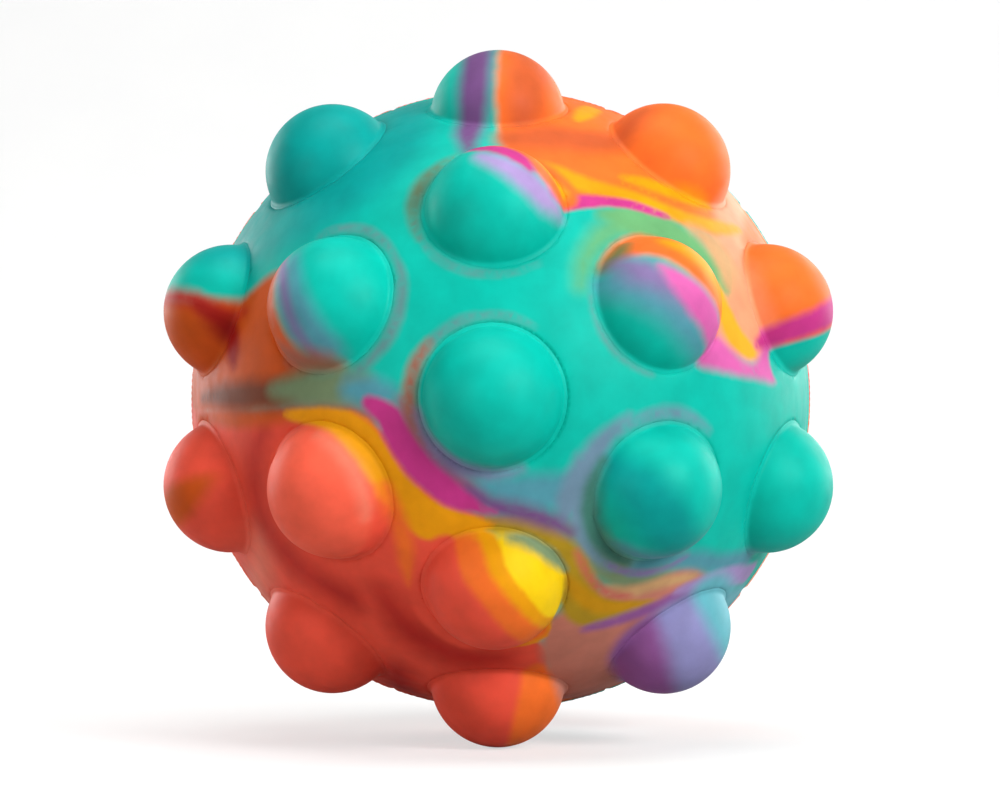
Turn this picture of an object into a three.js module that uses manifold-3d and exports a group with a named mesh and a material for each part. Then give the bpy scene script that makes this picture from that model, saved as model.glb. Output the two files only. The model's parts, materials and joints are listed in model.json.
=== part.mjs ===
// A pop-bubble stress ball: two hemispherical silicone shells bonded at the equator, with hollow domes all
// over that press in through their openings and pop back out. Millimetres, +Z up, origin at the ball's centre.
// The ball's pole axis is Y: the front pole points to -Y, and the bonded seam lies in the XZ plane.
import * as THREE from 'three';
import { mergeVertices } from 'three/addons/utils/BufferGeometryUtils.js';
import Module from 'manifold-3d';

// Driving dimensions.
const BALL_SPAN = 65;               // over the crowns, pole bubble to pole bubble
const WEB_R = 28;                   // outside of the spherical web between the bubbles
const WEB_WALL = 3;
const DOME_R = 6;                   // outside radius of a bubble's dome
const DOME_WALL = 1.5;
const RING_POLAR_DEG = [36, 71];    // angle from the pole to the inner and to the outer ring of bubbles
const RING_COUNT = [6, 10];

// Bubbles: each crown passes through its opening, and narrows below its shoulder so that neighbouring bubbles
// don't meet inside the ball when all of them are in.
const CROWN_R = 5.6;                // at the shoulder, the crown's widest part
const ROOT_R = 5.2;                 // at the crown's open end
const ROOT_H = 27;                  // ball centre to the crown's open end
const OPENING_R = 5.85;
const FLAT_R = 0.85;                // flat at a crown's tip

// The bonded seam.
const BOND = 0.4;                   // thickness of the adhesive
const BOND_CLEARANCE = 0.03;        // between the adhesive and each rim
const LAND_IN_R = 24;               // inside radius of the thickened rim
const LAND_H = 1.6;                 // its height from the seam
const LIP_PROUD = 0.35;             // moulded lip round each rim
const LIP_H = 0.9;

// Facets.
const WEB_SIDES = 36;
const WEB_STEPS = 9;
const BUBBLE_SIDES = 18;

const CROWN_H = BALL_SPAN / 2;
const DOME_CENTRE_H = CROWN_H - DOME_R;
const WEB_IN_R = WEB_R - WEB_WALL;
const ALONG_Y = new THREE.Vector3(0, 1, 0);

const SILICONE = { roughness: 0.55, metalness: 0 };
const PIGMENT = {
  teal: 0x10b9a4, coral: 0xe8563f, orange: 0xf58a3c, yellow: 0xefb21c, violet: 0x8a6aa0, clear: 0xf0dcd2,
};
// The pigment that covers most of each bubble; a bubble that isn't named is teal.
const BUBBLE_PIGMENT = {
  front_inner_bubble_2: 'violet', front_inner_bubble_4: 'yellow', front_inner_bubble_5: 'coral',
  front_outer_bubble_2: 'orange', front_outer_bubble_3: 'orange', front_outer_bubble_5: 'violet',
  front_outer_bubble_6: 'coral', front_outer_bubble_7: 'coral', front_outer_bubble_8: 'coral',
  front_outer_bubble_9: 'orange',
  back_pole_bubble: 'orange', back_inner_bubble_1: 'coral', back_inner_bubble_2: 'coral',
  back_inner_bubble_6: 'yellow', back_outer_bubble_1: 'coral', back_outer_bubble_2: 'violet',
  back_outer_bubble_4: 'orange', back_outer_bubble_5: 'orange', back_outer_bubble_9: 'coral',
  back_outer_bubble_10: 'coral',
};

const wasm = await Module();
wasm.setup();

const point = (radius, height) => new THREE.Vector2(radius, height);
const degrees = THREE.MathUtils.radToDeg;
const radians = THREE.MathUtils.degToRad;

// Points on a circle about (0, centre) in a lathe's half plane, by angle from the axis.
function arc(radius, centre, from, to, steps) {
  return Array.from({ length: steps + 1 }, (_, i) => {
    const angle = radians(from + (to - from) * i / steps);
    return point(radius * Math.sin(angle), centre + radius * Math.cos(angle));
  });
}

// A closed three.js geometry as a solid that can be joined and cut, and back.
function toSolid(geometry) {
  const bare = geometry.clone();
  bare.deleteAttribute('normal');
  bare.deleteAttribute('uv');
  const merged = mergeVertices(bare);
  return new wasm.Manifold(new wasm.Mesh({
    numProp: 3,
    vertProperties: merged.attributes.position.array,
    triVerts: Uint32Array.from(merged.index.array),
  }));
}

function toGeometry(solid) {
  const mesh = solid.getMesh();
  const geometry = new THREE.BufferGeometry();
  geometry.setAttribute('position', new THREE.BufferAttribute(mesh.vertProperties, 3));
  geometry.setIndex(new THREE.BufferAttribute(mesh.triVerts, 1));
  geometry.computeVertexNormals();
  return geometry;
}

// Every bubble of one half, with the pole along +Y: the pole bubble, then each ring, starting at the top and
// going clockwise as seen from outside the pole.
function bubbleLayout() {
  const layout = [{ name: 'pole_bubble', axis: ALONG_Y }];
  ['inner_bubble', 'outer_bubble'].forEach((ring, r) => {
    const out = Math.sin(radians(RING_POLAR_DEG[r]));
    const up = Math.cos(radians(RING_POLAR_DEG[r]));
    for (let i = 0; i < RING_COUNT[r]; i++) {
      const turn = Math.PI / 2 + 2 * Math.PI * i / RING_COUNT[r];
      const axis = new THREE.Vector3(out * Math.cos(turn), up, out * Math.sin(turn));
      layout.push({ name: `${ring}_${i + 1}`, axis });
    }
  });
  return layout;
}

const LAYOUT = bubbleLayout();
const turnTo = (axis) => new THREE.Quaternion().setFromUnitVectors(ALONG_Y, axis);

// The web of one half, before it has bubbles: a hollow hemisphere with a thick rim and a lip round it.
function hemisphere() {
  const rimH = BOND / 2 + BOND_CLEARANCE;
  const lipTop = rimH + LIP_H;
  const landTop = rimH + LAND_H;
  const outside = arc(WEB_R, 0, 0, degrees(Math.acos((lipTop + LIP_PROUD) / WEB_R)), WEB_STEPS);
  const lip = [point(WEB_R + LIP_PROUD, lipTop), point(WEB_R + LIP_PROUD, rimH)];
  const land = [point(LAND_IN_R, rimH), point(LAND_IN_R, landTop)];
  const inside = arc(WEB_IN_R, 0, degrees(Math.acos((landTop + LAND_H) / WEB_IN_R)), 0, WEB_STEPS - 1);
  return new THREE.LatheGeometry([...outside, ...lip, ...land, ...inside].reverse(), WEB_SIDES);
}

// One shell: the web, with an opening for every bubble.
function shellGeometry() {
  const cutter = new THREE.CylinderGeometry(OPENING_R, OPENING_R, 4 * WEB_WALL, BUBBLE_SIDES);
  cutter.translate(0, WEB_R - WEB_WALL / 2, 0);
  let shell = toSolid(hemisphere());
  for (const { axis } of LAYOUT) {
    shell = shell.subtract(toSolid(cutter.clone().applyQuaternion(turnTo(axis))));
  }
  return toGeometry(shell);
}

// A bubble's crown along +Y: a hollow dome, open towards the ball's centre, with a flat at its tip.
function crownGeometry() {
  const shoulder = degrees(Math.asin(CROWN_R / DOME_R));
  const insideR = DOME_R - DOME_WALL;
  const insideEdge = degrees(Math.asin((ROOT_R - DOME_WALL) / insideR));
  const outside = [
    point(0, CROWN_H), point(FLAT_R, CROWN_H), ...arc(DOME_R, DOME_CENTRE_H, shoulder / 3, shoulder, 2),
  ];
  const root = [point(ROOT_R, ROOT_H), point(ROOT_R - DOME_WALL, ROOT_H)];
  const inside = arc(insideR, DOME_CENTRE_H, insideEdge, 0, 2);
  return new THREE.LatheGeometry([...outside, ...root, ...inside].reverse(), BUBBLE_SIDES);
}

// The ring of cured adhesive between the two rims.
function adhesiveGeometry() {
  const h = BOND / 2;
  const outR = WEB_R + LIP_PROUD / 2;
  const profile = [
    point(LAND_IN_R, -h), point(outR, -h), point(outR, h), point(LAND_IN_R, h), point(LAND_IN_R, -h),
  ];
  return new THREE.LatheGeometry(profile, WEB_SIDES);
}

function namedMesh(name, geometry, pigment) {
  const material = new THREE.MeshStandardMaterial({ color: PIGMENT[pigment], ...SILICONE });
  const mesh = new THREE.Mesh(geometry, material);
  mesh.name = name;
  return mesh;
}

// One half of the ball with its pole along +Y: its shell and its bubbles.
function half(side, shell, crown) {
  const group = new THREE.Group();
  group.add(namedMesh(`${side}_shell`, shell, 'teal'));
  for (const { name, axis } of LAYOUT) {
    const node = `${side}_${name}`;
    const bubble = namedMesh(node, crown, BUBBLE_PIGMENT[node] ?? 'teal');
    bubble.quaternion.copy(turnTo(axis));
    group.add(bubble);
  }
  return group;
}

const shell = shellGeometry();
const crown = crownGeometry();
const back = half('back', shell, crown);
const front = half('front', shell, crown);
front.rotation.z = Math.PI;         // half a turn about the vertical brings its pole to -Y

const ball = new THREE.Group();
ball.add(front, back, namedMesh('seam_adhesive', adhesiveGeometry(), 'clear'));

export default ball;
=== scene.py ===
"""A marbled silicone pop-bubble ball: two bonded half shells and 34 domes that turn inside out."""
import json
import math

import bmesh
import bpy
import numpy as np
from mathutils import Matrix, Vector


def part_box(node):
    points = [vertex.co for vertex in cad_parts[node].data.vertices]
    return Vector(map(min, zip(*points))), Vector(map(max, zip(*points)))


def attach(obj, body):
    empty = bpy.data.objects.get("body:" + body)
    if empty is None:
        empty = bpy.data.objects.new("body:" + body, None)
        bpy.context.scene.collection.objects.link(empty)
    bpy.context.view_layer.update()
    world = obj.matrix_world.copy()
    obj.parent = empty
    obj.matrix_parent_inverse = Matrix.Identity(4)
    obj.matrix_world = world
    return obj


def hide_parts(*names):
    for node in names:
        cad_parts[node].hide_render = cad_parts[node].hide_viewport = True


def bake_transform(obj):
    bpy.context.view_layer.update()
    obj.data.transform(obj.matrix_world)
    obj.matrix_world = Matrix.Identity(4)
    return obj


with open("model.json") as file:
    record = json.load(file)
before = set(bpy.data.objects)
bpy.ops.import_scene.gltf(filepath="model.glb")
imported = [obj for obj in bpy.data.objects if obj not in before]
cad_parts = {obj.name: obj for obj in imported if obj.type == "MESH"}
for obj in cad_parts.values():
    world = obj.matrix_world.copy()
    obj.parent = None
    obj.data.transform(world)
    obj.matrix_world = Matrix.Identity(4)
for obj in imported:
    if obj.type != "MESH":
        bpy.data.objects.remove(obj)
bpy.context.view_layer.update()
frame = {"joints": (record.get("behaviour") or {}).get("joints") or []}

# ---------------------------------------------------------------- sizes, in metres
MM = 0.001
TIP_H = -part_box("front_pole_bubble")[0][1]  # ball centre to a dome's tip
DOME_R = 6.0 * MM
DOME_CENTRE_H = TIP_H - DOME_R
DOME_THICK = 1.2 * MM
FOOT_SHARE = 0.15  # of the dome's thickness, left at the foot, where it rolls over
WEB_R = 28.0 * MM  # outside of the web between the domes
WEB_THICK = 1.6 * MM

FILLET_R = 0.45 * MM  # rounds a dome into the web
# where the fillet's centre lies: along the dome's axis and out from it
FILLET_H = (WEB_R**2 - DOME_R**2 + DOME_CENTRE_H**2 + 2 * FILLET_R * (WEB_R - DOME_R)) / (
    2 * DOME_CENTRE_H
)
FILLET_OUT = math.sqrt((WEB_R + FILLET_R) ** 2 - FILLET_H**2)
FOOT_R = FILLET_OUT * WEB_R / (WEB_R + FILLET_R)  # the hole in the web that a dome stands in
HOLE_ANGLE = math.asin(FOOT_R / WEB_R)  # that hole's radius, seen from the ball's centre
FOOT_H = WEB_R * math.cos(HOLE_ANGLE)
CREASE_DEPTH = 0.12 * MM
CREASE_ROUND = 0.45 * MM  # width of the web's rounded edge
CREASE_STEPS = (0, 0.07, 0.19, 0.38, 0.65, 1)  # where its rings of points lie, as shares of that width
FLANGE = 0.45 * MM  # the dome's foot, tucked under the web
FLANGE_DROP = 0.6  # how far it slopes inwards for its width
FLANGE_BEND = (0.2, 0.5)  # its one bend: share of its width, share of its drop
THICK_FROM = 0.6  # share of the dome's height over which its wall reaches its full thickness

BOND_HALF = 0.12 * MM  # half the width of the visible bond line
LIP_PROUD = {"front": 0.20 * MM, "back": 0.36 * MM}
LIP_WIDTH = 1.3 * MM
LIP_STEPS = (0, 0.1, 0.25, 0.46, 0.71, 1)  # where its rings of points lie, as shares of that width
LIP_RISE, LIP_FALL = 0.22, 0.45  # shares of its width: where the lip reaches its height and where it runs out
BEAD_R = 0.15 * MM
BEAD_SUNK = 0.02 * MM
BEAD_DEPTH = 3.0 * MM
BEAD_STEPS = 12

WEB_STEP = 0.55 * MM  # spacing of the web's points
RIM_POINTS = 320
HOLE_POINTS = 72
DOME_SIDES = 72
DOME_RINGS = 26
FILLET_RINGS = 6

HEX_PACKING = 2 / math.sqrt(3)  # points in an area for each square of their spacing
GOLDEN_ANGLE = math.pi * (3 - math.sqrt(5))
UPRIGHT = 0.9  # an axis with more of z than this counts as upright

POLES = {"front": -1, "back": 1}  # the halves, and which way along y their poles lie


# ---------------------------------------------------------------- the bubbles, from the frame
def bubbles(side):
    """Each bubble of one half: its node and its unit axis, pointing out of the ball."""
    found = []
    for joint in frame["joints"]:
        if joint["child"].startswith(side + "_"):
            axis = -np.array(joint["axis"], float)
            found.append((joint["child"], axis / np.linalg.norm(axis)))
    return found


def across(axis):
    """Two unit vectors square to an axis and to each other."""
    helper = np.array([0.0, 0.0, 1.0]) if abs(axis[2]) < UPRIGHT else np.array([1.0, 0.0, 0.0])
    u = np.cross(helper, axis)
    u /= np.linalg.norm(u)
    return u, np.cross(axis, u)


def spoke(u, v, turn):
    """The unit vector at a turn from u towards v."""
    return u * math.cos(turn) + v * math.sin(turn)


def smooth(t):
    """A share from 0 to 1 that starts and ends gently."""
    t = np.clip(t, 0.0, 1.0)
    return t * t * (3 - 2 * t)


# ---------------------------------------------------------------- marbling, painted shade and painted highlights: shapes of pigment on each half
# A streak is a path of (polar, azimuth, half-width) in degrees. A patch is the outline of an area, as
# (polar, azimuth). Polar is measured from the half's pole. Azimuth runs anticlockwise from the right, seen
# from outside that pole. A layer has a pigment, the softness of its edge in degrees and its shapes. Each
# layer covers those before it.
# Some front layers paint light in: painted shade where shadows fell and painted highlights on lit edges, each
# marked where it stands.
HALO_OUT = 14.3  # how far a halo runs from its dome's axis, in degrees
HALO_KNOTS = 9
HALO_END = 0.3  # its width at its ends, as a share of its width in the middle
DISC_STEP = 30  # degrees between a disc's knots
CURVE_PARTS = 4  # straight pieces between two knots of a shape
DEPTH_LIMIT = 90.0  # degrees beyond which a distance on the map isn't told apart
NOT_ZERO = 1e-9


def streak(*points):
    """A band of pigment along a path."""
    return "streak", points


def patch(*outline):
    """An area of pigment."""
    return "patch", outline


def beside(polar, azimuth, direction, out):
    """The place so many degrees out from another, in a direction on the map."""
    p, d, turn = math.radians(polar), math.radians(out), math.radians(direction - azimuth)
    flat = math.sin(p) * math.cos(d) + math.cos(p) * math.sin(d) * math.cos(turn)
    height = math.cos(p) * math.cos(d) - math.sin(p) * math.sin(d) * math.cos(turn)
    sideways = math.sin(turn) * math.sin(d)
    return math.degrees(math.acos(height)), azimuth + math.degrees(math.atan2(sideways, flat))


def halo(polar, azimuth, start, end, half_width, out=HALO_OUT):
    """A thin mark round a dome's foot, from one direction to another and thinnest at its ends."""
    points = []
    for t in np.linspace(0, 1, HALO_KNOTS):
        width = half_width * (HALO_END + (1 - HALO_END) * math.sin(math.pi * t))
        points.append((*beside(polar, azimuth, start + (end - start) * t, out), width))
    return streak(*points)


def disc(polar, azimuth, out):
    """The round area about a place."""
    return patch(*(beside(polar, azimuth, direction, out) for direction in range(0, 360, DISC_STEP)))


FRONT = ("teal", [
    # painted shade: a darker teal over the upper left, where a shadow fell on the web
    ("deep_teal", 6.0, [
        patch((58, 104), (46, 120), (48, 138), (56, 150), (70, 156), (92, 150), (92, 122), (86, 104)),
    ]),
    ("deep_teal", 2.5, [
        streak((23, 330, 1.5), (28, 328, 4.0), (34, 324, 4.5), (40, 322, 3.5), (44, 325, 1.5)),
    ]),
    # the upper right: orange
    ("violet", 2.4, [
        streak((50, 96, 1.0), (56, 96, 2.6), (64, 94, 3.4), (74, 93, 3.2), (84, 92, 2.0)),
    ]),
    ("orange", 1.4, [
        patch((96, 90), (76, 89.5), (64, 90), (55, 89), (47, 86), (43, 79), (40, 71), (41, 65), (45.5, 56),
              (49.5, 47), (54, 40.5), (57.5, 36.5), (60, 33), (60, 27), (57.5, 20), (58, 13), (63, 10),
              (72, 9), (96, 10), (96, 30), (96, 50), (96, 70)),
    ]),
    ("peach", 2.2, [
        patch((60, 37), (54, 34), (49, 29), (45.5, 23), (45.5, 13), (54, 8), (60, 10), (59, 18), (61, 26),
              (66, 32), (76, 36), (90, 38), (90, 46), (74, 44), (65, 41)),
    ]),
    # painted shade: brick over the orange near the top, where it lay in a finger's shadow
    ("brick", 3.0, [
        streak((54, 87, 2.5), (56, 80, 4.0), (58, 72, 4.0), (62, 66, 3.5), (68, 63, 2.0)),
        streak((60, 85, 3.0), (70, 84, 5.0), (84, 84, 5.0)),
    ]),
    ("amber", 1.2, [
        streak((47, 80, 0.8), (46, 74, 1.8), (45.5, 67, 2.0), (47.8, 58, 1.7), (51.5, 48, 1.6),
               (56.5, 41, 1.6), (62.5, 37, 1.8), (69, 35, 0.8)),
        streak((66, 74, 1.0), (71, 73, 2.4), (78, 72, 2.6)),
        streak((52, 60, 0.6), (55, 54, 1.6), (59, 47, 1.6), (64, 42, 0.6)),
    ]),
    ("moss", 3.0, [
        halo(36, 30, 172, 55, 2.2, 15.4),
    ]),
    ("moss", 1.8, [
        streak((40.5, 60, 0.8), (43, 54, 2.8), (46, 46, 4.0), (49.2, 38, 3.8), (51.5, 30.5, 2.8),
               (52, 25, 1.4)),
    ]),
    ("tan", 1.8, [
        streak((53.5, 41, 1.0), (55.5, 36, 2.2), (56, 31, 2.8), (54, 26.5, 1.8)),
    ]),
    ("magenta", 0.8, [
        streak((36.5, 74, 1.0), (38.5, 70.5, 1.6), (42, 64, 1.5), (46.3, 55.5, 1.0), (50.5, 46.5, 0.5)),
    ]),
    ("honey", 0.9, [
        streak((50.2, 27.5, 0.5), (49.6, 23.5, 1.4), (49.2, 19, 2.2), (50, 14.5, 2.4), (53, 10.8, 1.8),
               (55.2, 9.2, 0.5)),
    ]),
    ("pink", 1.5, [
        patch((40, 14), (39, 9.5), (46, 6.3), (54, 4.2), (61, 3.2), (62, 7.5), (60.5, 12), (58.5, 14.5),
              (57.3, 10.5), (54, 7.6), (50.5, 8.6), (47.5, 12), (44, 17)),
    ]),
    # the dome at azimuth 30, from its outer edge inwards
    ("orange", 1.2, [
        patch((31, 51), (36, 52), (42, 48), (46.5, 38), (47.5, 27), (45.5, 17), (43, 16.5), (40.6, 21.5),
              (38.4, 27.5), (36.6, 34), (35.4, 40), (33.4, 45.5), (31.4, 49.5)),
    ]),
    ("amber", 1.5, [
        streak((39.4, 42, 0.9), (41.8, 36, 2.4), (43.4, 29, 2.7), (44.2, 21, 2.0)),
    ]),
    ("olive", 1.4, [
        streak((30, 49.5, 0.8), (32.5, 49, 1.4), (36, 49.5, 0.8)),
    ]),
    ("slate", 2.2, [
        streak((27.6, 47, 1.0), (28.6, 41, 2.5), (30.6, 31, 2.8), (33.4, 20, 2.3), (37, 12.5, 1.6)),
    ]),
    ("violet_grey", 2.0, [
        streak((31.4, 46, 1.2), (31.8, 40, 2.5), (32.8, 33, 2.0), (34.6, 25, 1.2)),
    ]),
    ("pink", 1.2, [
        streak((34.2, 38, 0.5), (34.8, 32, 1.7), (36.2, 25.5, 2.4), (38.8, 18.5, 2.6), (42, 13.5, 2.4)),
    ]),
    # the dome at azimuth 18
    ("teal", 0.8, [
        patch((59, 8.5), (62, 10.5), (68, 11.2), (76, 12.2), (88, 13), (88, 0), (74, 0), (62, 3)),
    ]),
    ("magenta", 1.3, [
        streak((56, 11.5, 0.8), (60, 12.5, 2.0), (68, 14, 2.6), (76, 15.5, 2.6), (84, 16.5, 1.5)),
    ]),
    # the dome at azimuth 90
    ("orange", 1.0, [
        patch((47, 93), (43.5, 92), (41.8, 86.5), (39.3, 81), (37, 76), (36.5, 71), (41, 67), (46, 74),
              (49, 83)),
    ]),
    ("amber", 1.2, [
        streak((44.5, 81, 0.6), (43, 77, 1.5), (41, 72, 1.4)),
    ]),
    ("lilac", 1.8, [
        streak((39.5, 93, 1.0), (37.5, 88, 1.8), (35.8, 82, 2.4), (34.5, 76, 2.4), (35, 71, 1.2)),
    ]),
    ("magenta", 0.9, [
        streak((43.6, 95, 1.0), (42, 89, 1.5), (40.3, 84.5, 1.5), (38.5, 81, 0.8)),
    ]),
    # the left: rust and red
    ("rust", 1.7, [
        patch((96, 162), (80, 163), (66, 162.5), (60, 160), (56.3, 156.5), (53, 151.5), (48, 148.5),
              (43, 147.5), (40.5, 154), (37, 161), (34.5, 167), (35, 174), (40, 181), (56, 183), (70, 183),
              (96, 183)),
    ]),
    ("red", 2.0, [
        streak((78, 163.5, 0.8), (71, 163, 1.3), (64, 162, 1.5), (60, 163, 1.2), (56, 161, 0.6)),
    ]),
    # a red blob in the rust, in the darker crimson it shows in shade: its own red with painted shade
    ("crimson", 1.8, [
        streak((63, 162.6, 0.6), (60, 164.2, 1.8), (58, 167, 2.8), (56.6, 170, 2.4), (55.5, 173, 0.8)),
    ]),
    ("violet_grey", 1.7, [
        streak((43, 147, 0.8), (39.8, 150, 1.5), (36.5, 155, 1.8), (33.5, 161, 1.8), (31, 165.5, 1.2)),
    ]),
    ("slate", 2.0, [
        streak((40.5, 145, 0.8), (37, 149, 1.2), (33, 156, 1.8), (29.5, 162.5, 2.2)),
    ]),
    # the lower left: coral
    ("coral", 1.2, [
        patch((96, 181), (80, 182), (62, 183), (50, 184), (41, 184), (35, 185), (30, 189), (26.6, 197),
              (24.8, 206), (24.2, 217), (24.8, 231), (25.5, 242), (25, 250), (27, 258), (31, 264.5),
              (36, 270.5), (42, 275), (48, 279), (54, 282), (62, 280), (72, 276), (96, 276), (104, 258),
              (104, 240), (104, 220), (104, 200)),
    ]),
    # painted highlight: a paler salmon towards the lower-left limb, where a rim light falls
    ("salmon_light", 6.0, [
        streak((58, 210, 1.5), (64, 214, 3.5), (70, 216, 4.5), (78, 218, 4.5), (86, 220, 4.5)),
    ]),
    # painted shade: darker red on the web between the lower-left domes and towards the bottom
    ("red", 5.0, [
        streak((46, 188, 1.0), (51, 195, 2.2), (54.5, 206, 2.2), (54, 220, 2.6), (50, 234, 3.0)),
        streak((44, 240, 2.0), (50, 250, 4.0), (54, 262, 4.0), (54, 272, 2.0)),
        streak((66, 250, 3.0), (80, 252, 4.0)),
    ]),
    ("rust", 1.8, [
        streak((76, 183.5, 1.0), (62, 184, 2.0), (50, 184.5, 2.2), (42, 184.5, 1.6), (36, 184.5, 0.8)),
        streak((62, 196, 1.6), (67, 198, 3.6), (74, 199.5, 4.0), (82, 200, 2.5)),
    ]),
    ("dusty", 2.0, [
        streak((38, 183, 1.2), (31, 183.5, 2.0), (26, 186, 2.2), (22.5, 190, 1.4)),
        streak((39, 168.5, 1.6), (34, 169.5, 2.2), (29, 169, 1.6)),
    ]),
    ("umber", 2.2, [
        streak((70, 180, 0.8), (60, 179.5, 2.4), (50, 179.3, 3.2), (42, 179, 2.8), (36, 178, 1.6)),
    ]),
    ("sage", 2.2, [
        streak((43, 178, 1.2), (35, 177.3, 3.2), (28, 176.3, 3.4), (23.5, 174, 2.0)),
    ]),
    ("slate", 2.0, [
        streak((26, 177, 1.8), (21.5, 177.5, 2.8), (18, 178, 1.6)),
    ]),
    ("mulberry", 1.8, [
        streak((16, 182, 1.0), (15.2, 192, 1.6), (14.8, 210, 1.9), (15, 230, 2.0), (16, 248, 2.0),
               (17.5, 262, 1.6)),
    ]),
    # the bottom right, under its streaks
    ("salmon", 1.8, [
        patch((44, 284), (43, 296), (44.5, 306), (48.5, 315), (54, 320), (60, 319), (59, 308), (62, 299),
              (68, 296), (96, 295), (96, 282), (78, 281), (66, 280), (56, 280), (49, 281)),
    ]),
    ("orange", 1.2, [
        patch((57, 280), (60, 275), (72, 271.5), (96, 270), (96, 284), (80, 282), (66, 281.5)),
    ]),
    ("sage", 2.2, [
        streak((26, 298, 1.4), (31, 302.5, 3.0), (37, 304, 3.8), (42, 306.5, 3.8), (46.5, 312, 2.8),
               (49, 319, 1.6)),
    ]),
    ("slate", 2.0, [
        streak((15.5, 266, 1.6), (16.5, 280, 2.8), (18.5, 296, 3.6), (21.5, 309, 3.4)),
        streak((42.5, 310, 1.6), (47, 316.5, 2.0), (53, 321, 2.2), (61, 323.5, 2.6), (70, 327, 2.8)),
        streak((35, 310.5, 1.2), (40, 314, 1.6), (44, 321, 1.2), (46, 330, 0.6)),
    ]),
    ("haze", 1.5, [
        halo(36, 330, 115, 240, 2.2, 15.6),
        halo(36, 330, 45, 130, 1.0, 14.4),
        streak((25, 300, 1.4), (22.5, 307, 2.4), (20.5, 316, 2.2), (19, 326, 1.2)),
    ]),
    ("pine", 1.4, [
        halo(36, 330, 150, 250, 1.8, 13.6),
    ]),
    ("tan", 1.3, [
        streak((43, 300, 1.0), (47.5, 306.5, 1.4), (51, 313, 1.5), (56, 318, 0.8)),
    ]),
    ("ochre", 1.2, [
        streak((22.8, 256, 1.8), (22.5, 271, 2.2), (24, 284, 2.9), (28, 291, 3.2), (35, 294, 3.6),
               (40.5, 293, 4.4), (45.5, 294, 4.2), (49.5, 300.5, 2.2), (52.5, 307, 0.6)),
    ]),
    ("gold", 1.2, [
        streak((37, 292.5, 0.6), (41, 293.5, 2.0), (46, 297, 1.8), (50.5, 304, 0.9), (54, 309, 0.5)),
    ]),
    ("rose", 1.2, [
        streak((32, 298.3, 0.3), (38, 298, 0.7), (43.5, 299.8, 0.8), (47.5, 304, 0.6)),
    ]),
    ("orange", 1.0, [
        streak((26, 187.5, 0.8), (23, 194, 1.5), (21.2, 204, 1.7), (20.8, 218, 1.6), (21, 232, 1.6),
               (21.2, 246, 1.4), (21.4, 259, 1.0), (22, 270, 0.4)),
    ]),
    ("amber", 0.8, [
        streak((39.5, 184.6, 0.8), (35, 185.6, 1.4), (30.5, 187.2, 2.0), (27, 190.5, 2.6),
               (24.3, 197.5, 2.8), (23.2, 207, 2.6), (22.9, 217, 2.4), (23.8, 230, 3.3), (24.8, 241, 3.9),
               (24, 254, 3.1), (23, 263, 1.8), (22.6, 269, 0.6)),
    ]),
    # painted light: the dome at azimuth 209 in a lighter coral than the web round it, as it looks lit
    ("lit_coral", 0.7, [
        disc(37.6, 209, 12.0),
    ]),
    # painted highlight: a paler rim on that dome's lit upper-right edge
    ("salmon_light", 1.6, [
        halo(37.6, 209, 350, 440, 0.5, 11.4),
    ]),
    ("orange", 1.5, [
        streak((24.6, 219, 0.4), (26, 226, 1.1), (28, 232, 1.6), (31, 238, 1.9), (34.5, 242, 1.6),
               (38.5, 246, 0.8)),
    ]),
    ("violet", 1.8, [
        streak((17.4, 256, 1.6), (19.2, 270, 2.0), (21, 285, 2.0), (24.3, 294.5, 1.7), (28, 299.5, 0.8)),
    ]),
    ("magenta", 0.9, [
        streak((22, 182.5, 1.3), (18.9, 189, 2.4), (17.8, 200, 2.7), (17.6, 222, 2.9), (18.5, 246, 2.4),
               (19.6, 262, 1.2), (20.3, 272, 0.4)),
    ]),
    ("purple", 1.3, [
        streak((50, 291, 0.6), (51.8, 299, 1.2), (53.8, 305, 1.6), (56.2, 311, 1.9), (59, 316.5, 1.6)),
    ]),
    ("lilac", 1.3, [
        streak((55.5, 313, 0.8), (59, 317, 1.9), (63, 320, 2.8), (68.5, 322.5, 3.2), (78, 325, 3.6)),
    ]),
    # the dome at azimuth 270, from its right edge to its left
    ("yellow", 0.8, [
        patch((24, 270), (25, 258), (30, 250), (38, 248), (46, 254), (49, 266), (49, 276), (44, 285),
              (36, 291.5), (29, 291), (25, 283)),
    ]),
    ("amber", 0.5, [
        patch((24, 271), (28.5, 275.5), (33, 280.5), (38, 283.5), (43, 285.5), (50, 280), (50, 262),
              (44, 252), (36, 246), (28, 250), (24, 258)),
    ]),
    ("orange", 0.9, [
        patch((24.6, 264), (28.5, 269.5), (33, 275.5), (38, 280), (43, 282.5), (49, 281), (50, 262),
              (44, 252), (36, 246), (29, 249), (25.5, 256)),
    ]),
    ("coral", 0.9, [
        patch((26, 252), (29.5, 260), (32.5, 266.5), (37, 272), (42, 276.5), (49, 279), (51, 262),
              (45, 250), (36, 245), (29, 246)),
    ]),
    ("sage", 0.8, [
        streak((24.6, 276, 0.5), (26, 283.5, 1.0), (30, 290, 1.1), (34.5, 292.5, 0.6)),
    ]),
    # the dome at azimuth 306
    ("periwinkle", 1.8, [
        patch((56, 308), (58, 299), (64, 294.5), (76, 294), (90, 296), (90, 318), (76, 319), (66, 320),
              (60, 317)),
    ]),
    ("purple", 2.2, [
        patch((56, 306), (57, 298), (63, 293.5), (74, 293), (90, 295), (90, 302), (76, 301), (66, 302),
              (60, 305)),
    ]),
    ("slate_light", 2.6, [
        patch((59, 317), (64, 313), (74, 310.5), (90, 310), (90, 322), (74, 322), (63, 322)),
    ]),
    # thin flow marks round the feet of the domes; at the pole dome's lower-left foot the mark is also painted
    # crease shade
    ("umber_teal", 1.5, [
        halo(36, 90, 118, 205, 1.3, 14.4),
    ]),
    ("dove", 1.1, [
        halo(36, 90, 190, 305, 0.6),
        halo(0, 0, 58, 160, 0.7, 14.4),
        halo(36, 150, 110, 20, 0.8, 14.4),
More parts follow.
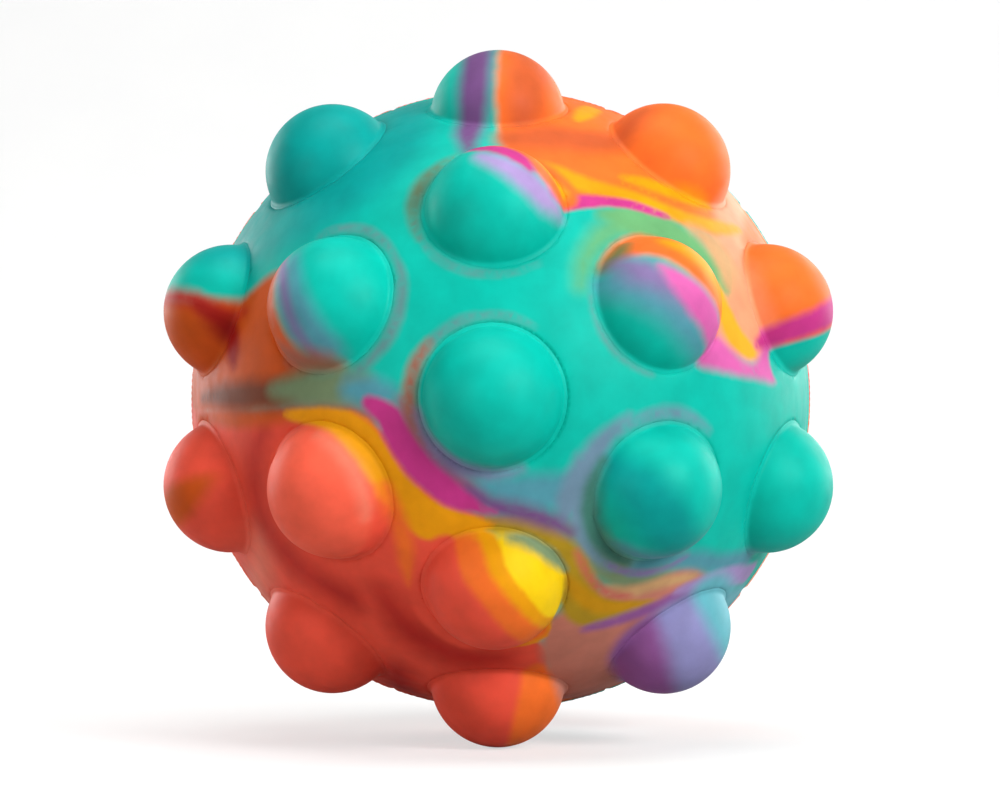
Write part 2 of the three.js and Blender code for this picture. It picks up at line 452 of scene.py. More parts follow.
        halo(36, 150, 30, -75, 1.2, 14.6),
        halo(36, 30, 180, 260, 0.4, 13.6),
    ]),
    ("dusty", 1.3, [
        halo(0, 0, 140, 215, 1.4, 14.6),
    ]),
    # the pole dome's lower-left foot: its violet tint, with painted crease shade
    ("violet_grey", 1.8, [
        halo(0, 0, 190, 292, 1.2, 13.4),
    ]),
    ("violet_grey", 0.8, [
        halo(36, 330, 235, 305, 0.8, 15.5),
    ]),
])
BACK = ("coral", [
    ("red", 6.0, [
        streak((44, 66, 3.0), (56, 78, 6.0), (70, 92, 6.0), (84, 98, 4.0)),
        streak((30, 296, 1.0), (26, 312, 3.0), (30, 328, 2.0)),
    ]),
    ("salmon_light", 5.0, [
        streak((52, 42, 3.0), (66, 50, 5.0), (80, 58, 5.0)),
        streak((40, 250, 2.0), (52, 244, 4.0), (62, 240, 3.0)),
    ]),
    ("orange", 1.8, [
        patch((96, 182), (78, 184), (66, 190), (56, 202), (50, 218), (56, 232), (70, 236), (96, 238),
              (104, 210)),
        patch((96, 318), (76, 320), (60, 326), (47, 338), (40, 354), (44, 8), (58, 18), (74, 24), (96, 42),
              (104, 20), (104, 0), (104, 340)),
        streak((26, 78, 1.0), (36, 86, 4.0), (48, 96, 5.0), (62, 110, 5.5), (76, 120, 5.0), (90, 124, 4.0)),
    ]),
    ("salmon_light", 2.2, [
        streak((22, 58, 0.8), (34, 64, 2.4), (48, 73, 2.8), (62, 84, 2.2), (76, 92, 0.8)),
        streak((74, 300, 0.8), (64, 304, 2.4), (54, 312, 2.2), (46, 322, 0.8)),
    ]),
    ("rust", 2.0, [
        streak((94, 70, 2.0), (80, 68, 3.4), (66, 61, 3.2), (56, 50, 2.4), (50, 38, 1.0)),
    ]),
    ("peach", 2.5, [
        patch((96, 192), (80, 194), (70, 202), (70, 214), (82, 220), (96, 220)),
        streak((56, 350, 2.0), (62, 358, 4.0), (70, 6, 4.0), (80, 12, 2.0)),
    ]),
    ("brick", 3.0, [
        streak((62, 330, 1.5), (72, 332, 4.0), (86, 334, 4.0)),
        streak((84, 206, 1.0), (74, 212, 2.6), (66, 222, 1.6)),
    ]),
    ("teal", 1.2, [
        patch((96, 139), (78, 136), (61, 127), (46, 112), (33, 103), (21, 92), (13, 60), (16, 6), (25, 340),
              (33, 322), (43, 312), (50, 299), (47, 287), (38, 284), (28, 276), (17, 250), (19, 214),
              (30, 190), (46, 178), (62, 168), (80, 163), (96, 161), (104, 150)),
        patch((60, 256), (66, 248), (80, 246), (96, 247), (96, 262), (78, 263), (66, 264)),
    ]),
    ("deep_teal", 5.0, [
        streak((28, 112, 3.0), (40, 130, 5.0), (58, 146, 5.0), (76, 150, 3.0)),
        streak((14, 300, 2.0), (22, 300, 3.0), (32, 298, 3.0)),
    ]),
    ("slate", 2.0, [
        streak((36, 187, 1.0), (27, 204, 2.6), (21, 232, 3.6), (28, 266, 3.0), (40, 283, 1.2)),
        streak((64, 166, 1.0), (76, 161, 2.2), (88, 159, 2.0)),
    ]),
    ("sage", 2.2, [
        streak((60, 128, 0.8), (50, 117, 2.2), (40, 109, 3.6), (28, 101, 3.4), (17, 90, 1.4)),
        streak((24, 344, 0.8), (33, 325, 2.6), (43, 313, 1.6)),
    ]),
    ("slate", 1.6, [
        streak((96, 83, 2.6), (84, 81, 3.0), (74, 75, 2.4), (66, 66, 1.4), (61, 56, 0.5)),
    ]),
    ("teal", 0.9, [
        streak((96, 84, 1.4), (86, 82, 2.0), (77, 77, 1.4), (70, 70, 0.5)),
    ]),
    ("ochre", 1.4, [
        streak((52, 116, 0.8), (42, 105, 2.6), (31, 99, 4.0), (20, 90, 3.4), (12.5, 66, 1.4)),
        streak((46, 308, 0.8), (52, 296, 2.4), (58, 286, 3.0), (66, 279, 2.0), (76, 274, 0.8)),
    ]),
    ("amber", 1.0, [
        streak((82, 134, 0.4), (68, 129, 1.0), (58, 121, 2.4), (47, 108, 4.2), (36, 96, 4.6), (24, 86, 3.2),
               (14, 62, 1.3), (13.5, 24, 0.6)),
        streak((15, 4, 0.4), (22, 346, 1.6), (30, 330, 3.2), (38, 318, 3.6), (46, 310, 2.2),
               (52, 299, 0.8)),
        streak((58, 236, 0.8), (52, 226, 1.4), (50, 212, 2.8), (56, 198, 2.2), (66, 187, 0.8)),
        streak((50, 340, 0.8), (46, 352, 2.0), (50, 4, 2.6), (60, 13, 1.0)),
        streak((96, 64, 1.6), (82, 62, 2.4), (70, 55, 2.0), (61, 44, 1.2), (55, 33, 0.5)),
    ]),
    ("gold", 0.9, [
        streak((60, 119, 0.4), (50, 107, 1.4), (40, 96, 1.8), (30, 86, 0.8)),
    ]),
    ("yellow", 0.7, [
        streak((56, 336, 0.5), (52, 343, 1.6), (51, 351, 2.4), (55, 357, 1.0)),
        streak((46, 100, 0.4), (38, 92, 1.4), (30, 84, 1.8), (22, 72, 0.6)),
        streak((27, 334, 0.4), (33, 324, 1.6), (40, 314, 1.0)),
    ]),
    ("mulberry", 2.0, [
        streak((54, 172, 1.0), (40, 187, 2.6), (26, 208, 3.0), (19, 240, 2.6), (24, 266, 1.4)),
    ]),
    ("magenta", 0.9, [
        streak((66, 167, 0.4), (58, 171, 1.0), (48, 179, 2.6), (37, 191, 3.6), (27, 209, 2.8),
               (20.5, 232, 1.2), (21, 254, 0.5)),
        streak((22, 262, 0.4), (30, 272, 1.6), (39, 278, 2.4), (47, 284, 0.8)),
        streak((40, 60, 0.5), (36, 48, 1.4), (38, 34, 2.4), (44, 24, 1.4), (52, 20, 0.4)),
    ]),
    ("violet", 1.6, [
        streak((52, 283, 0.8), (56, 273, 1.6), (60, 264, 2.2), (70, 258, 2.6), (86, 254, 3.0)),
        streak((24, 330, 0.4), (20, 316, 1.2), (24, 300, 1.8), (32, 292, 0.8)),
    ]),
    ("lilac", 1.6, [
        streak((62, 257, 0.8), (70, 250, 2.4), (84, 247, 3.4)),
        streak((33, 214, 0.6), (38, 205, 2.4), (44, 198, 2.4), (50, 194, 0.8)),
    ]),
    ("pink", 1.0, [
        streak((36, 222, 0.8), (40, 213, 2.2), (44, 205, 2.0), (50, 198, 0.6)),
        streak((26, 52, 0.6), (30, 42, 2.4), (36, 30, 2.6), (41, 18, 0.8)),
    ]),
    ("periwinkle", 1.8, [
        streak((44, 166, 0.8), (40, 156, 2.2), (34, 146, 2.4), (27, 140, 0.8)),
        streak((60, 166, 1.2), (70, 170, 2.6), (82, 172, 2.0)),
    ]),
    ("orange", 1.2, [
        streak((44, 232, 1.0), (40, 222, 2.2), (36, 232, 1.8), (38, 244, 1.0)),
        streak((68, 130, 0.8), (76, 131, 2.2), (88, 132, 2.2)),
    ]),
    ("dove", 1.1, [
        halo(0, 0, 100, 210, 0.9),
        halo(36, 150, 120, 230, 1.0),
        halo(71, 144, 10, 120, 1.0),
    ]),
    ("dusty", 1.2, [
        halo(36, 30, 30, 140, 1.1),
        halo(36, 90, 20, 120, 1.2),
        halo(36, 330, 200, 320, 1.2),
    ]),
])
MARBLING_AND_PAINTED_LIGHT = {"front": FRONT, "back": BACK}
PIGMENTS = {  # sRGB, 0 to 255
    "teal": (0, 188, 169),
    "deep_teal": (0, 158, 152),
    "coral": (242, 86, 64),
    # a lighter coral: painted light on a lit dome
    "lit_coral": (252, 100, 74),
    "red": (190, 42, 34),
    "salmon_light": (240, 128, 104),
    "orange": (246, 114, 42),
    "brick": (204, 92, 46),
    "rust": (206, 84, 22),
    "peach": (255, 158, 118),
    "salmon": (205, 128, 108),
    "tan": (205, 160, 110),
    "ochre": (180, 146, 34),
    "amber": (238, 158, 10),
    "yellow": (248, 204, 12),
    # red as it looks in shade: painted shade on a real red blob
    "honey": (244, 174, 36),
    "crimson": (158, 22, 16),
    "umber": (120, 62, 38),
    "umber_teal": (104, 128, 98),
    "mulberry": (152, 92, 122),
    "haze": (112, 142, 164),
    "pine": (66, 122, 108),
    "gold": (206, 148, 18),
    "rose": (206, 100, 92),
    "olive": (120, 116, 66),
    "sage": (124, 146, 108),
    "moss": (104, 172, 112),
    "dove": (98, 146, 146),
    "dusty": (170, 104, 84),
    "slate": (84, 154, 170),
    "slate_light": (104, 184, 196),
    "violet_grey": (134, 116, 164),
    "violet": (118, 78, 132),
    "purple": (152, 92, 158),
    "lilac": (170, 146, 200),
    "periwinkle": (144, 142, 192),
    "magenta": (200, 56, 136),
    "pink": (218, 98, 172),
}


def linear(colour):
    """An sRGB colour as linear light."""
    return tuple(c / 255 / 12.92 if c <= 10 else ((c / 255 + 0.055) / 1.055) ** 2.4 for c in colour)


def on_map(polar, azimuth):
    """A place on one half as a point of the flat map whose distances from the pole are degrees."""
    turn = math.radians(azimuth)
    return np.array([polar * math.cos(turn), polar * math.sin(turn)])


def curve(knots, closed):
    """A smooth (Catmull-Rom) curve through the knots, in short straight pieces."""
    count = len(knots)
    path = []
    for i in range(count if closed else count - 1):
        ids = (i - 1, i, i + 1, i + 2)
        before, a, b, after = (knots[j % count] if closed else knots[min(max(j, 0), count - 1)] for j in ids)
        for t in np.arange(CURVE_PARTS) / CURVE_PARTS:
            path.append(0.5 * (2 * a + (b - before) * t + (2 * before - 5 * a + 4 * b - after) * t**2
                               + (3 * a - before - 3 * b + after) * t**3))
    path.append(knots[0] if closed else knots[-1])
    return np.array(path)


def nearest(places, a, b):
    """How far along the piece a-b each place lies (0 to 1) and how far away from it."""
    step = b - a
    t = np.clip((places - a) @ step / (step @ step), 0, 1)
    return t, np.linalg.norm(places - a - t[:, None] * step, axis=1)


def depth_in_streak(places, points):
    """How many degrees each place of the map lies inside a streak; outside is negative."""
    path = curve([on_map(polar, azimuth) for polar, azimuth, _ in points], False)
    knots = np.arange(len(points)) * CURVE_PARTS
    width = np.interp(np.arange(len(path)), knots, [half_width for _, _, half_width in points])
    depth = np.full(len(places), -DEPTH_LIMIT)
    for i in range(len(path) - 1):
        t, away = nearest(places, path[i], path[i + 1])
        depth = np.maximum(depth, width[i] + (width[i + 1] - width[i]) * t - away)
    return depth


def depth_in_patch(places, outline):
    """How many degrees each place of the map lies inside a patch; outside is negative."""
    path = curve([on_map(*point) for point in outline], True)
    away = np.full(len(places), DEPTH_LIMIT)
    inside = np.zeros(len(places), bool)
    for a, b in zip(path[:-1], path[1:]):
        away = np.minimum(away, nearest(places, a, b)[1])
        level = (a[1] > places[:, 1]) != (b[1] > places[:, 1])
        rise = b[1] - a[1] if b[1] != a[1] else 1.0
        inside ^= level & (places[:, 0] < a[0] + (places[:, 1] - a[1]) * (b[0] - a[0]) / rise)
    return np.where(inside, away, -away)


def write_attribute(mesh, name, kind, values):
    """Puts a number or a vector on each point of a mesh, for its material to read."""
    layer = mesh.attributes.new(name, kind, "POINT")
    layer.data.foreach_set("vector" if kind == "FLOAT_VECTOR" else "value", values.astype(np.float32).ravel())


def paint(mesh, side):
    """Gives a mesh its marbling and painted light and shade: how deep each point lies in each layer, and its
    place at rest in mm.
    """
    places = np.array([v.co for v in mesh.vertices], float)
    write_attribute(mesh, "place", "FLOAT_VECTOR", places / MM)
    pole = POLES[side]
    across_pole = np.stack([-pole * places[:, 0], places[:, 2]], 1)
    reach = np.linalg.norm(across_pole, axis=1)
    polar = np.degrees(np.arctan2(reach, pole * places[:, 1]))
    flat = across_pole * (polar / np.maximum(reach, NOT_ZERO))[:, None]
    for i, (_, _, shapes) in enumerate(MARBLING_AND_PAINTED_LIGHT[side][1]):
        depths = [depth_in_streak(flat, points) if kind == "streak" else depth_in_patch(flat, points)
                  for kind, points in shapes]
        write_attribute(mesh, f"layer_{i}", "FLOAT", np.max(depths, axis=0))


# ---------------------------------------------------------------- materials
RUFFLES = ((0.16, 3.0, 0.8), (1.1, 2.0, 0.25))  # noise on a layer's edge: scale per mm, detail, degrees
TONE_SCALE, TONE_DETAIL, TONE_RANGE = 0.35, 4.0, (0.90, 1.08)
ROUGH_SCALE, ROUGH_DETAIL, ROUGH_RANGE = 0.8, 4.0, (0.44, 0.56)
PLAIN_DETAIL = 2.0  # a noise's detail where nothing else is asked
NOISE_SPAN = (0.3, 0.7)  # what the noise's values are spread from
MIX_SHARE, MIX_A, MIX_B, MIX_OUT = 0, 6, 7, 2  # the Mix node's sockets for colours
SKIN = {"IOR": 1.41, "Specular IOR Level": 0.13, "Sheen Weight": 0.015, "Sheen Roughness": 0.3,
        "Subsurface Weight": 0.12, "Subsurface Radius": (1.0, 0.8, 0.7), "Subsurface Scale": 1.2 * MM}
GRAIN_SCALE, GRAIN_DETAIL, GRAIN_DEPTH, GRAIN_STRENGTH = 6.0, 3.0, 0.05 * MM, 0.12
BOND_PALE, BOND_DARK = (0.92, 0.86, 0.82), (0.80, 0.62, 0.56)
BOND_TONE_SCALE, BOND_TONE_DETAIL = 0.3 / MM, 3.0
BOND_ROUGH_SCALE, BOND_ROUGH_RANGE = 0.9 / MM, (0.35, 0.5)


class Nodes:
    """Short calls for building a node tree."""

    def __init__(self, name):
        self.material = bpy.data.materials.new(name)
        self.material.use_nodes = True
        self.tree = self.material.node_tree
        self.tree.nodes.clear()

    def add(self, kind, **settings):
        """A new node with its settings."""
        node = self.tree.nodes.new(kind)
        for key, value in settings.items():
            setattr(node, key, value)
        return node

    def link(self, source, target):
        """Joins an output to an input."""
        self.tree.links.new(source, target)

    def maths(self, operation, *values):
        """A calculation on numbers and outputs."""
        node = self.add("ShaderNodeMath", operation=operation)
        for socket, value in zip(node.inputs, values):
            if isinstance(value, bpy.types.NodeSocket):
                self.link(value, socket)
            else:
                socket.default_value = value
        return node.outputs[0]

    def attribute(self, name, output="Fac"):
        """What a mesh's points carry under a name."""
        return self.add("ShaderNodeAttribute", attribute_name=name).outputs[output]

    def noise(self, vector, scale, detail=PLAIN_DETAIL):
        """Noise from 0 to 1."""
        node = self.add("ShaderNodeTexNoise")
        self.link(vector, node.inputs["Vector"])
        node.inputs["Scale"].default_value = scale
        node.inputs["Detail"].default_value = detail
        return node.outputs["Fac"]

    def mix(self, share, a, b):
        """A colour between a (share 0) and b (share 1)."""
        node = self.add("ShaderNodeMix", data_type="RGBA")
        for number, value in ((MIX_SHARE, share), (MIX_A, a), (MIX_B, b)):
            socket = node.inputs[number]
            if isinstance(value, bpy.types.NodeSocket):
                self.link(value, socket)
            else:
                socket.default_value = value if isinstance(value, float) else (*value, 1.0)
        return node.outputs[MIX_OUT]

    def remap(self, value, low, high, to_low=0.0, to_high=1.0, kind="SMOOTHSTEP"):
        """A value moved from one range to another and kept inside it."""
        node = self.add("ShaderNodeMapRange", interpolation_type=kind)
        self.link(value, node.inputs["Value"])
        for name, number in (("From Min", low), ("From Max", high), ("To Min", to_low), ("To Max", to_high)):
            node.inputs[name].default_value = number
        return node.outputs["Result"]

    def finished(self, surface):
        """The material, once the tree ends in this surface."""
        out = self.add("ShaderNodeOutputMaterial")
        self.link(surface.outputs[0], out.inputs["Surface"])
        return self.material


def marbled(n, place, side):
    """One half's colour, marbling with painted shade and highlights: each layer's edge is the outline of its
    shapes, ruffled by noise.
    """
    ruffle = n.maths("ADD", *(n.maths("MULTIPLY_ADD", n.noise(place, scale, detail), 2 * most, -most)
                              for scale, detail, most in RUFFLES))
    base, layers = MARBLING_AND_PAINTED_LIGHT[side]
    colour = linear(PIGMENTS[base])
    for i, (pigment, soft, _) in enumerate(layers):
        depth = n.maths("ADD", n.attribute(f"layer_{i}"), ruffle)
        share = n.remap(depth, -soft, soft)
        colour = n.mix(share, colour, linear(PIGMENTS[pigment]))
    tone = n.remap(n.noise(place, TONE_SCALE, TONE_DETAIL), *NOISE_SPAN, *TONE_RANGE, "LINEAR")
    toned = n.add("ShaderNodeHueSaturation")
    n.link(colour, toned.inputs["Color"])
    n.link(tone, toned.inputs["Value"])
    return toned.outputs[0]


def silicone(side):
    """Satin marbled silicone, with painted shade and highlights in its colour, and a very fine grain."""
    n = Nodes(f"{side}_silicone")
    place = n.attribute("place", "Vector")
    surface = n.add("ShaderNodeBsdfPrincipled")
    n.link(marbled(n, place, side), surface.inputs["Base Color"])
    rough = n.remap(n.noise(place, ROUGH_SCALE, ROUGH_DETAIL), *NOISE_SPAN, *ROUGH_RANGE, "LINEAR")
    n.link(rough, surface.inputs["Roughness"])
    for name, value in SKIN.items():
        surface.inputs[name].default_value = value
    bump = n.add("ShaderNodeBump")
    bump.inputs["Strength"].default_value = GRAIN_STRENGTH
    bump.inputs["Distance"].default_value = GRAIN_DEPTH
    n.link(n.noise(place, GRAIN_SCALE, GRAIN_DETAIL), bump.inputs["Height"])
    n.link(bump.outputs[0], surface.inputs["Normal"])
    return n.finished(surface)


def adhesive():
    """Cured clear silicone, pale where the halves meet."""
    n = Nodes("seam_adhesive")
    place = n.add("ShaderNodeTexCoord").outputs["Object"]
    surface = n.add("ShaderNodeBsdfPrincipled")
    tone = n.noise(place, BOND_TONE_SCALE, BOND_TONE_DETAIL)
    n.link(n.mix(tone, BOND_DARK, BOND_PALE), surface.inputs["Base Color"])
    rough = n.remap(n.noise(place, BOND_ROUGH_SCALE), *NOISE_SPAN, *BOND_ROUGH_RANGE, "LINEAR")
    n.link(rough, surface.inputs["Roughness"])
    return n.finished(surface)


# ---------------------------------------------------------------- meshes
def new_object(name, points, faces, material):
    """A smooth-shaded mesh object, linked into the scene."""
    mesh = bpy.data.meshes.new(name)
    mesh.from_pydata([tuple(p) for p in points], [], [tuple(int(i) for i in f) for f in faces])
    mesh.update()
    mesh.materials.append(material)
    for polygon in mesh.polygons:
        polygon.use_smooth = True
    piece = bpy.data.objects.new(name, mesh)
    bpy.context.scene.collection.objects.link(piece)
    return piece


def thicken(piece, thickness, group=None, least=0.0):
    """Makes a surface a closed wall, its outside where it was."""
    wall = piece.modifiers.new("wall", "SOLIDIFY")
    wall.thickness = thickness
    wall.offset = -1.0
    if group:
        wall.vertex_group = group
        wall.thickness_vertex_group = least


def hull_faces(units):
    """The triangles that join points on a sphere, as their convex hull."""
    bm = bmesh.new()
    for unit in units:
        bm.verts.new(unit)
    tag = bm.verts.layers.int.new("number")
    for i, vert in enumerate(bm.verts):
        vert[tag] = i
    bmesh.ops.convex_hull(bm, input=bm.verts)
    faces = []
    for face in bm.faces:
        middle = face.calc_center_median()
        ids = [v[tag] for v in face.verts]
        faces.append(ids if face.normal.dot(middle) > 0 else ids[::-1])
    bm.free()
    return faces


INNER, RIM = -1, -2  # a point's kind: within the web, on the seam's edge, or else the number of its hole


def hole_rings(axes):
    """Points in rings round each hole, and their kinds."""
    points, kinds = [], []
    for h, axis in enumerate(axes):
        u, v = across(axis)
        for r, step in enumerate(CREASE_STEPS):
            angle = HOLE_ANGLE + step * CREASE_ROUND / WEB_R
            for k in range(HOLE_POINTS):
                turn = math.tau * (k + 0.5 * (r % 2)) / HOLE_POINTS
                points.append(axis * math.cos(angle) + spoke(u, v, turn) * math.sin(angle))
                kinds.append(h if r == 0 else INNER)
    return points, kinds


def seam_rings(pole):
    """Points in rings along the seam, and their kinds."""
    points, kinds = [], []
    for r, step in enumerate(LIP_STEPS):
        angle = (BOND_HALF + step * LIP_WIDTH) / WEB_R
        for k in range(RIM_POINTS):
            turn = math.tau * (k + 0.5 * (r % 2)) / RIM_POINTS
            points.append([math.cos(turn) * math.cos(angle), pole * math.sin(angle),
                           math.sin(turn) * math.cos(angle)])
            kinds.append(RIM if r == 0 else INNER)
    return points, kinds


def even_spread(pole, axes):
    """Evenly spaced points over one half, clear of the holes' and the seam's rings."""
    clear = HOLE_ANGLE + (CREASE_ROUND + 0.5 * WEB_STEP) / WEB_R
    low = (BOND_HALF + LIP_WIDTH + 0.5 * WEB_STEP) / WEB_R
    count = int(math.tau * (WEB_R / WEB_STEP) ** 2 * HEX_PACKING)
    i = np.arange(count)
    height = 1 - (i + 0.5) / count
    flat = np.sqrt(1 - height**2)
    spread = np.stack([flat * np.cos(GOLDEN_ANGLE * i), pole * height, flat * np.sin(GOLDEN_ANGLE * i)], 1)
    keep = height > math.sin(low)
    for axis in axes:
        keep &= spread @ axis < math.cos(clear)
    return spread[keep]


def web_points(side, axes):
    """Points over one half's web as unit vectors, and their kinds."""
    holes, hole_kinds = hole_rings(axes)
    seam, seam_kinds = seam_rings(POLES[side])
    spread = even_spread(POLES[side], axes)
    return np.vstack([np.array(holes + seam), spread]), hole_kinds + seam_kinds + [INNER] * len(spread)


def web_radius(units, axes, lip_proud):
    """How far out the web lies: a sphere, rolled under round each hole and raised in a lip at the seam."""
    radius = np.full(len(units), WEB_R)
    for axis in axes:
        angle = np.arccos(np.clip(units @ axis, -1, 1))
        t = np.clip((angle - HOLE_ANGLE) * WEB_R / CREASE_ROUND, 0, 1)
        radius -= CREASE_DEPTH * (1 - np.sqrt(1 - (1 - t) ** 2))
    from_seam = np.abs(units[:, 1]) * WEB_R - BOND_HALF
    t = np.clip(from_seam / LIP_WIDTH, 0, 1)
    lip = smooth(t / LIP_RISE) * (1 - smooth((t - LIP_FALL) / (1 - LIP_FALL)))
    return radius + lip_proud * lip


def web(side, material):
    """One half's web as a wall with a hole for every dome."""
    axes = [axis for _, axis in bubbles(side)]
    units, kinds = web_points(side, axes)
    faces = []
    for face in hull_faces(units):
        first = kinds[face[0]]
        spans_opening = first != INNER and all(kinds[i] == first for i in face)
        if not spans_opening:
            faces.append(face)
    points = units * web_radius(units, axes, LIP_PROUD[side])[:, None]
    piece = new_object(f"{side}_web", points, faces, material)
    paint(piece.data, side)
    thicken(piece, WEB_THICK)
    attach(piece, "shell")
    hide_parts(f"{side}_shell")


def dome_profile():
    """The dome's outside from tip to foot, as (radius, height): a cap, a fillet and a flange."""
    lean = math.atan2(FILLET_OUT, FILLET_H - DOME_CENTRE_H)
    profile = [(DOME_R * math.sin(a), DOME_CENTRE_H + DOME_R * math.cos(a))
               for a in np.linspace(0, lean, DOME_RINGS + 1)]
    web_lean = math.atan2(FILLET_OUT, FILLET_H)
    for a in np.linspace(lean, web_lean, FILLET_RINGS + 1)[1:]:
        profile.append((FILLET_OUT - FILLET_R * math.sin(a), FILLET_H - FILLET_R * math.cos(a)))
    edge, foot_h = profile[-1]
    drop = FLANGE_DROP * FLANGE
    profile.append((edge + FLANGE_BEND[0] * FLANGE, foot_h - FLANGE_BEND[1] * drop))
    profile.append((edge + FLANGE, foot_h - drop))
    return profile


def dome_mesh(axis):
    """The points and faces of a dome's outside, its tip first."""
    u, v = across(axis)
    profile = dome_profile()
    points = [axis * TIP_H]
    for radius, height in profile[1:]:
        for k in range(DOME_SIDES):
            points.append(axis * height + spoke(u, v, math.tau * k / DOME_SIDES) * radius)
    faces = [(0, 1 + k, 1 + (k + 1) % DOME_SIDES) for k in range(DOME_SIDES)]
    for r in range(len(profile) - 2):
        a, b = 1 + r * DOME_SIDES, 1 + (r + 1) * DOME_SIDES
        for k in range(DOME_SIDES):
            j = (k + 1) % DOME_SIDES
            faces.append((a + k, b + k, b + j, a + j))
    return points, faces


def dome(side, node, axis, material):
    """One bubble: a dome whose wall thins from its full thickness near the tip to a share of it at the foot.
    """
    points, faces = dome_mesh(axis)
    piece = new_object(node.replace("bubble", "dome"), points, faces, material)
    paint(piece.data, side)
    wall = piece.vertex_groups.new(name="wall")
    for i, height in enumerate(np.array(points) @ axis):
        share = smooth((height - FOOT_H) / (THICK_FROM * (TIP_H - FOOT_H)))
        wall.add([i], float(share), "REPLACE")
    thicken(piece, DOME_THICK, "wall", FOOT_SHARE)
    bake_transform(piece)
    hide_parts(node)


def bond_line(material):
    """The bead of adhesive in the groove between the two rims."""
    ring_r = WEB_R - BEAD_SUNK
    profile = [(ring_r + BEAD_R * math.cos(a), BEAD_R * math.sin(a))
               for a in np.linspace(-math.pi / 2, math.pi / 2, BEAD_STEPS + 1)]
    profile += [(ring_r - BEAD_DEPTH, BEAD_R), (ring_r - BEAD_DEPTH, -BEAD_R)]
    points, faces = [], []
    for k in range(RIM_POINTS):
        turn = math.tau * k / RIM_POINTS
        for radius, height in profile:
            points.append((radius * math.cos(turn), height, radius * math.sin(turn)))
    count = len(profile)
    for k in range(RIM_POINTS):
        a, b = k * count, ((k + 1) % RIM_POINTS) * count
        for i in range(count):
            j = (i + 1) % count
            faces.append((a + i, a + j, b + j, b + i))
    piece = new_object("bond_line", points, faces, material)
    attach(piece, "shell")
    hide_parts("seam_adhesive")


# ---------------------------------------------------------------- stage, light and camera
VIEW_FROM = Vector((0.0227, -0.9997, -0.0052))  # the viewer stands a little to the right of the pole axis
VIEW_DISTANCE = 12 * WEB_R
FRAME_HEIGHT = 73 * MM  # seen at the ball
ASPECT = 1000 / 798
SENSOR = 36  # mm
NEAR_CLIP = 10 * MM
EXPOSURE = 0.10  # stops

FLOOR_HALF = 3.0
FLOOR_GAP = 0.05 * MM
BEND_FROM, BEND_R, BEND_STEPS = 0.35, 0.5, 15  # the floor's curve up into the backdrop
PAPER_DARK, PAPER_PALE = (0.38, 0.38, 0.38), (0.42, 0.42, 0.41)
PAPER_SCALE, PAPER_DETAIL, PAPER_ROUGH = 40.0, 4.0, 0.9
FLOOR_GLOW = (0.54, 0.54, 0.54)  # added to the floor for the camera only, so that it stays pale far off
FLOOR_BOUNCE = (0.40, 0.40, 0.40)  # the floor as the ball sees it, so that it casts little light back
WORLD_LIGHT = 0.10  # the world's strength as light
WORLD_SEEN = 0.61  # for the camera only, as bright as the floor far off

LIGHTS = (  # name, place, size, watts, aim, whether matt surfaces take its light too
    ("key", (0.50, -0.50, 0.32), 0.34, 4.6, (0, 0, 0), True),
    ("fill", (-0.50, -0.60, 0.10), 0.6, 1.7, (0, 0, 0), True),
    ("rim_right", (0.50, 0.40, 0.20), 0.5, 1.0, (0, 0, 0), True),
    ("rim_left", (-0.45, 0.35, 0.08), 0.4, 1.4, (0, 0, 0), True),
    ("edge_right", (0.38, 0.46, 0.12), 0.6, 2.6, (0, 0, 0), False),
    ("edge_left", (-0.40, 0.42, 0.06), 0.5, 1.0, (0, 0, 0), False),
    ("backdrop", (0, -0.05, 0.9), 0.8, 6.5, (0, 0.9, 0), True),
)


def paper():
    """Matt pale paper, brighter for the camera than for the ball."""
    n = Nodes("paper")
    surface = n.add("ShaderNodeBsdfPrincipled")
    place = n.add("ShaderNodeTexCoord").outputs["Object"]
    pulp = n.mix(n.noise(place, PAPER_SCALE, PAPER_DETAIL), PAPER_DARK, PAPER_PALE)
    seen = n.add("ShaderNodeLightPath").outputs["Is Camera Ray"]
    n.link(n.mix(seen, FLOOR_BOUNCE, pulp), surface.inputs["Base Color"])
    n.link(n.mix(seen, (0.0, 0.0, 0.0), FLOOR_GLOW), surface.inputs["Emission Color"])
    surface.inputs["Emission Strength"].default_value = 1.0
    surface.inputs["Roughness"].default_value = PAPER_ROUGH
    return n.finished(surface)


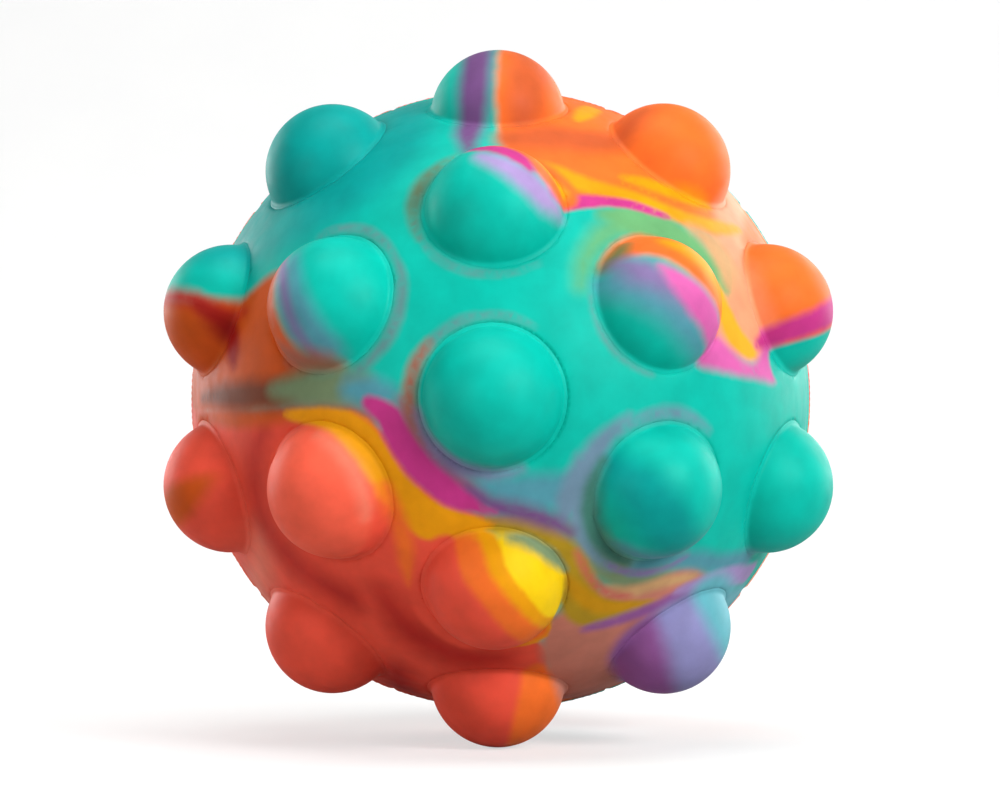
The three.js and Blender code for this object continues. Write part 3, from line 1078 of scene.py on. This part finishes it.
def stage():
    """A pale floor that curves up into the backdrop."""
    floor_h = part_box("front_outer_bubble_6")[0][2] - FLOOR_GAP
    profile = [(-FLOOR_HALF, 0.0)]
    for a in np.linspace(0, math.pi / 2, BEND_STEPS + 1):
        profile.append((BEND_FROM + BEND_R * math.sin(a), BEND_R * (1 - math.cos(a))))
    profile.append((BEND_FROM + BEND_R, FLOOR_HALF))
    points = [(x, y, floor_h + z) for y, z in profile for x in (-FLOOR_HALF, FLOOR_HALF)]
    faces = [(2 * i, 2 * i + 1, 2 * i + 3, 2 * i + 2) for i in range(len(profile) - 1)]
    new_object("floor", points, faces, paper())


def area_light(name, place, size, power, aim, for_matt):
    """A round soft light that the camera doesn't see."""
    data = bpy.data.lights.new(name, "AREA")
    data.shape = "DISK"
    data.size = size
    data.energy = power
    lamp = bpy.data.objects.new(name, data)
    lamp.location = place
    lamp.rotation_euler = (Vector(aim) - Vector(place)).to_track_quat("-Z", "Y").to_euler()
    lamp.visible_camera = False
    lamp.visible_diffuse = for_matt
    bpy.context.scene.collection.objects.link(lamp)


def studio_world():
    """An even white world, dim as light and bright as a background."""
    world = bpy.data.worlds.new("studio")
    world.use_nodes = True
    tree = world.node_tree
    background = tree.nodes["Background"]
    background.inputs["Color"].default_value = (1, 1, 1, 1)
    seen = tree.nodes.new("ShaderNodeLightPath").outputs["Is Camera Ray"]
    strength = tree.nodes.new("ShaderNodeMapRange")
    tree.links.new(seen, strength.inputs["Value"])
    strength.inputs["To Min"].default_value = WORLD_LIGHT
    strength.inputs["To Max"].default_value = WORLD_SEEN
    tree.links.new(strength.outputs["Result"], background.inputs["Strength"])
    bpy.context.scene.world = world


def camera():
    """The camera at the photo's angle, and how its picture is developed."""
    data = bpy.data.cameras.new("camera")
    data.sensor_fit = "HORIZONTAL"
    data.sensor_width = SENSOR
    data.lens = SENSOR * VIEW_DISTANCE / (FRAME_HEIGHT * ASPECT)
    data.clip_start = NEAR_CLIP
    eye = bpy.data.objects.new("camera", data)
    eye.location = VIEW_FROM * VIEW_DISTANCE
    eye.rotation_euler = (-VIEW_FROM).to_track_quat("-Z", "Y").to_euler()
    bpy.context.scene.collection.objects.link(eye)
    bpy.context.scene.camera = eye
    bpy.context.scene.view_settings.view_transform = "Standard"
    bpy.context.scene.view_settings.exposure = EXPOSURE


# ---------------------------------------------------------------- build
for side in POLES:
    skin = silicone(side)
    web(side, skin)
    for node, axis in bubbles(side):
        dome(side, node, axis, skin)
bond_line(adhesive())
stage()
for light in LIGHTS:
    area_light(*light)
studio_world()
camera()
